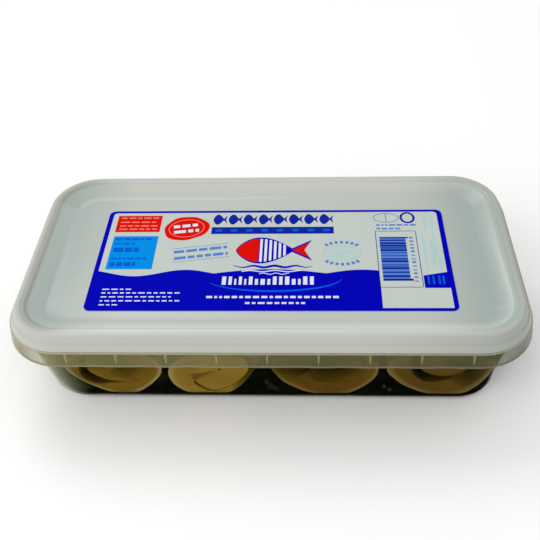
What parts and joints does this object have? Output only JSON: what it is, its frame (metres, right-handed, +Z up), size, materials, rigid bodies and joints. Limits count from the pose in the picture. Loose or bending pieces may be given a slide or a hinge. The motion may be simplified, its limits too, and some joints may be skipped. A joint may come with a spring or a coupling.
{
  "type": "pack of rollmops in a lidded plastic tub",
  "caption": "Rectangular clear plastic tub with a white clip-on lid and a printed label, holding rolled pickled herring fillets side by side.",
  "frame": {"origin": "middle of the tub's base, at the height of the surface it stands on", "axes": "+X along the long side, +Y towards the back, away from the wall where the rolls' ends show, +Z up"},
  "size_m": [0.1868, 0.097, 0.042],
  "materials": {
    "tub_plastic": "translucent, slightly milky polypropylene",
    "lid_plastic": "milky white polypropylene, satin",
    "label_film": "smooth printed film in blue and off-white",
    "herring": "moist, tan to ochre flesh with a silvery skin side",
    "gherkin": "moist olive green"
  },
  "bodies": {
    "root": {"tub": "tub_plastic", "lid": "lid_plastic", "label": "label_film", "herring_1": "herring", "herring_2": "herring", "herring_3": "herring", "herring_4": "herring", "gherkin_1": "gherkin", "gherkin_2": "gherkin", "gherkin_3": "gherkin", "gherkin_4": "gherkin"}
  },
  "joints": []
}
